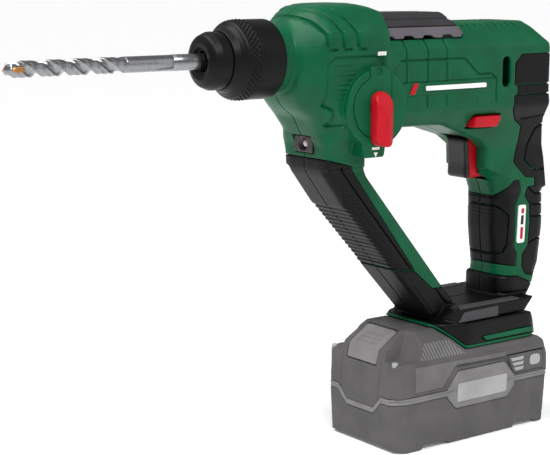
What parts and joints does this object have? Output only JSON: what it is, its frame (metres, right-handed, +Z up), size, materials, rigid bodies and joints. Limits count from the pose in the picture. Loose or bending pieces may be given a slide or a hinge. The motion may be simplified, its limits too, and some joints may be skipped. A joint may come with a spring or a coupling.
{
  "type": "rotary hammer",
  "caption": "Cordless rotary hammer with a D-shaped grip frame, keyed quick-change chuck with a drill bit, mode selector, trigger and a slide-on battery.",
  "frame": {"origin": "middle of the battery's underside, on the plane where the two housing halves meet", "axes": "+Z up through the tool as it stands on its battery, the bit points to -X along the drill axis, the mode selector is on the -Y side"},
  "size_m": [0.4224, 0.0865, 0.3029],
  "materials": {
    "green_plastic": "fine-grained satin moulding",
    "black_rubber": "soft matt overmould, finely ribbed where it is gripped",
    "black_plastic": "satin moulding",
    "grey_plastic": "satin moulding",
    "red_plastic": "satin moulding",
    "white_plastic": "smooth moulding",
    "battery_grey": "fine-grained moulding",
    "battery_light_grey": "fine-grained moulding",
    "lens": "slightly smoky clear lens",
    "steel": "ground steel",
    "dark_steel": "blackened steel",
    "gear_plate_alloy": "cast light alloy",
    "carbide": "sintered carbide",
    "copper": "copper",
    "cell_wrap": "shrink wrap",
    "circuit_board": "circuit board"
  },
  "bodies": {
    "frame": {"housing_left": "green_plastic", "housing_right": "green_plastic", "arm_pad_left": "black_rubber", "arm_pad_right": "black_rubber", "foot_cover_left": "black_rubber", "foot_cover_right": "black_rubber", "front_grip_left": "black_rubber", "front_grip_right": "black_rubber", "rear_grip_left": "black_rubber", "rear_grip_right": "black_rubber", "screw_gear_case": "dark_steel", "screw_neck": "dark_steel", "screw_handle": "dark_steel", "top_bumper": "grey_plastic", "handle_badge": "white_plastic", "led_lens": "lens", "selector_cover": "green_plastic", "switch_module": "black_plastic", "control_board": "circuit_board", "terminal_block": "copper", "gearbox_plate": "gear_plate_alloy", "motor_can": "dark_steel", "magnet_ring": "dark_steel", "motor_end_cap": "black_plastic", "brush_left": "dark_steel", "brush_right": "dark_steel", "front_bearing": "steel", "shaft_bearing": "steel"},
    "spindle": {"tool_holder": "steel", "hammer_tube": "steel", "spindle_gear": "dark_steel", "dust_cap": "black_rubber", "sleeve_spring": "dark_steel"},
    "chuck": {"chuck_sleeve": "black_plastic", "lock_ring": "steel"},
    "ball_left": {"lock_ball_left": "steel"},
    "ball_right": {"lock_ball_right": "steel"},
    "bit": {"drill_bit": "steel", "carbide_tip": "carbide"},
    "motor_rotor": {"rotor": "dark_steel", "commutator": "copper", "fan": "black_plastic"},
    "intermediate": {"intermediate_shaft": "steel", "intermediate_gear": "dark_steel"},
    "wobble": {"wobble_ring": "steel"},
    "hammer_piston": {"piston": "steel"},
    "hammer_striker": {"striker": "dark_steel"},
    "anvil": {"impact_bolt": "steel"},
    "trigger_group": {"trigger": "black_plastic", "trigger_trim": "red_plastic"},
    "direction": {"direction_switch": "red_plastic"},
    "selector": {"selector_knob": "red_plastic", "shift_crank": "dark_steel"},
    "battery": {"battery_base": "battery_grey", "battery_cover": "battery_grey", "cells_lower": "cell_wrap", "cells_upper": "cell_wrap", "gauge_panel": "battery_light_grey"},
    "release": {"battery_button": "battery_light_grey"},
    "gauge": {"gauge_button": "white_plastic"}
  },
  "joints": [
    {"name": "spindle_spin", "type": "hinge", "parent": "frame", "child": "spindle", "pos_m": [0, 0, 0.2675], "axis": [1, 0, 0], "continuous": true},
    {"name": "rotor_spin", "type": "hinge", "parent": "frame", "child": "motor_rotor", "pos_m": [0, 0, 0.258], "axis": [1, 0, 0], "continuous": true},
    {"name": "intermediate_spin", "type": "hinge", "parent": "frame", "child": "intermediate", "pos_m": [0, 0, 0.24], "axis": [1, 0, 0], "continuous": true},
    {"name": "chuck_slide", "type": "slide", "parent": "spindle", "child": "chuck", "axis": [1, 0, 0], "range_m": [0, 0.006], "stiffness_N_per_m": 1500, "springref_m": -0.003},
    {"name": "ball_left_slide", "type": "slide", "parent": "spindle", "child": "ball_left", "axis": [0, -1, 0], "range_m": [0, 0.002]},
    {"name": "ball_right_slide", "type": "slide", "parent": "spindle", "child": "ball_right", "axis": [0, 1, 0], "range_m": [0, 0.002]},
    {"name": "bit_slide", "type": "slide", "parent": "spindle", "child": "bit", "axis": [1, 0, 0], "range_m": [-0.005, 0.0015]},
    {"name": "piston_slide", "type": "slide", "parent": "frame", "child": "hammer_piston", "axis": [1, 0, 0], "range_m": [-0.0043, 0.0043]},
    {"name": "wobble_rock", "type": "hinge", "parent": "frame", "child": "wobble", "pos_m": [-0.068, 0, 0.24], "axis": [0, 1, 0], "range_deg": [-9, 9]},
    {"name": "striker_slide", "type": "slide", "parent": "frame", "child": "hammer_striker", "axis": [1, 0, 0], "range_m": [-0.008, 0.004]},
    {"name": "impact_bolt_slide", "type": "slide", "parent": "spindle", "child": "anvil", "axis": [1, 0, 0], "range_m": [-0.0025, 0]},
    {"name": "trigger_slide", "type": "slide", "parent": "frame", "child": "trigger_group", "axis": [1, 0, 0], "range_m": [0, 0.007], "stiffness_N_per_m": 900, "springref_m": -0.003},
    {"name": "direction_slide", "type": "slide", "parent": "frame", "child": "direction", "axis": [0, 1, 0], "range_m": [-0.003, 0.003]},
    {"name": "selector_turn", "type": "hinge", "parent": "frame", "child": "selector", "pos_m": [-0.0955, 0, 0.236], "axis": [0, 1, 0], "range_deg": [0, 180]},
    {"name": "battery_slide", "type": "slide", "parent": "frame", "child": "battery", "axis": [-1, 0, 0], "range_m": [0, 0.1]},
    {"name": "battery_button_press", "type": "slide", "parent": "battery", "child": "release", "axis": [1, 0, 0], "range_m": [0, 0.003], "stiffness_N_per_m": 1500, "springref_m": -0.001},
    {"name": "gauge_button_press", "type": "slide", "parent": "battery", "child": "gauge", "axis": [0, 1, 0], "range_m": [0, 0.001], "stiffness_N_per_m": 1500, "springref_m": -0.0005}
  ],
  "couplings": [
    {"joint": "rotor_spin", "follows": "spindle_spin", "ratio": 11.308},
    {"joint": "intermediate_spin", "follows": "spindle_spin", "ratio": -3.2308},
    {"joint": "ball_left_slide", "follows": "chuck_slide", "ratio": 0.33},
    {"joint": "ball_right_slide", "follows": "chuck_slide", "ratio": 0.33},
    {"joint": "wobble_rock", "follows": "piston_slide", "rad_per_m": 36.36}
  ]
}
